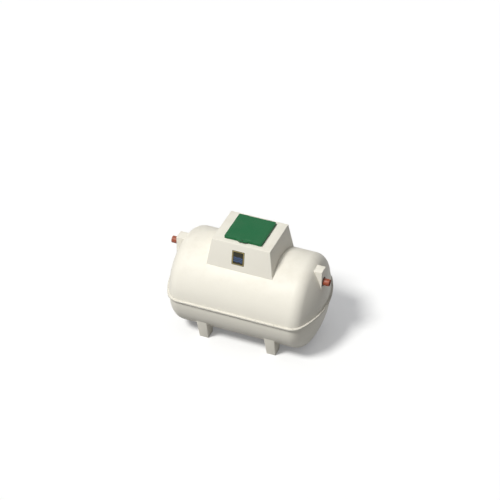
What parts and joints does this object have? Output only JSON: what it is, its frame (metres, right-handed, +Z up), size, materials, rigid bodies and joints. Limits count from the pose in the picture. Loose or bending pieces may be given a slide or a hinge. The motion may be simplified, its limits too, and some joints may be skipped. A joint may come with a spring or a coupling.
{
  "type": "horizontal septic tank",
  "caption": "Horizontal glass-fibre septic tank with dished ends, a joint flange, a tapered access turret under a hinged square lid, pipe stubs in end pockets, and moulded feet.",
  "frame": {"origin": "on the ground under the middle of the tank", "axes": "+X along the tank from the inlet end to the outlet end, +Y to the back where the lid is hinged, +Z up"},
  "size_m": [2.5714, 1.55, 1.876],
  "materials": {
    "gelcoat": "satin cream gel coat on glass fibre",
    "lid_green": "moulded green with an anti-slip tread",
    "pipe": "terracotta drain pipe",
    "rubber": "matt black",
    "steel": "plain stainless"
  },
  "bodies": {
    "tank": {"upper_shell_front": "gelcoat", "upper_shell_back": "gelcoat", "upper_shell_inlet_crown": "gelcoat", "upper_shell_outlet_crown": "gelcoat", "inlet_head_upper": "gelcoat", "outlet_head_upper": "gelcoat", "lower_shell_front": "gelcoat", "lower_shell_bottom": "gelcoat", "lower_shell_back": "gelcoat", "inlet_head_lower": "gelcoat", "outlet_head_lower": "gelcoat", "turret_front_wall": "gelcoat", "turret_back_wall": "gelcoat", "turret_inlet_wall": "gelcoat", "turret_outlet_wall": "gelcoat", "turret_top": "gelcoat", "opening_rim": "gelcoat", "opening_seal": "rubber", "hinge_bracket_inlet_side": "steel", "hinge_bracket_outlet_side": "steel", "hinge_pin_inlet_side": "steel", "hinge_pin_outlet_side": "steel", "inlet_pipe": "pipe", "outlet_pipe": "pipe", "inlet_pipe_ring": "rubber", "outlet_pipe_ring": "rubber", "front_inlet_foot": "gelcoat", "front_outlet_foot": "gelcoat", "back_inlet_foot": "gelcoat", "back_outlet_foot": "gelcoat"},
    "lid": {"lid_panel": "lid_green", "lid_tab": "lid_green", "lid_lock": "steel", "lid_knuckle_inlet_side": "lid_green", "lid_knuckle_outlet_side": "lid_green"}
  },
  "joints": [
    {"name": "lid_hinge", "type": "hinge", "parent": "tank", "child": "lid", "pos_m": [0, 0.317, 1.845], "axis": [-1, 0, 0], "range_deg": [0, 105]}
  ]
}
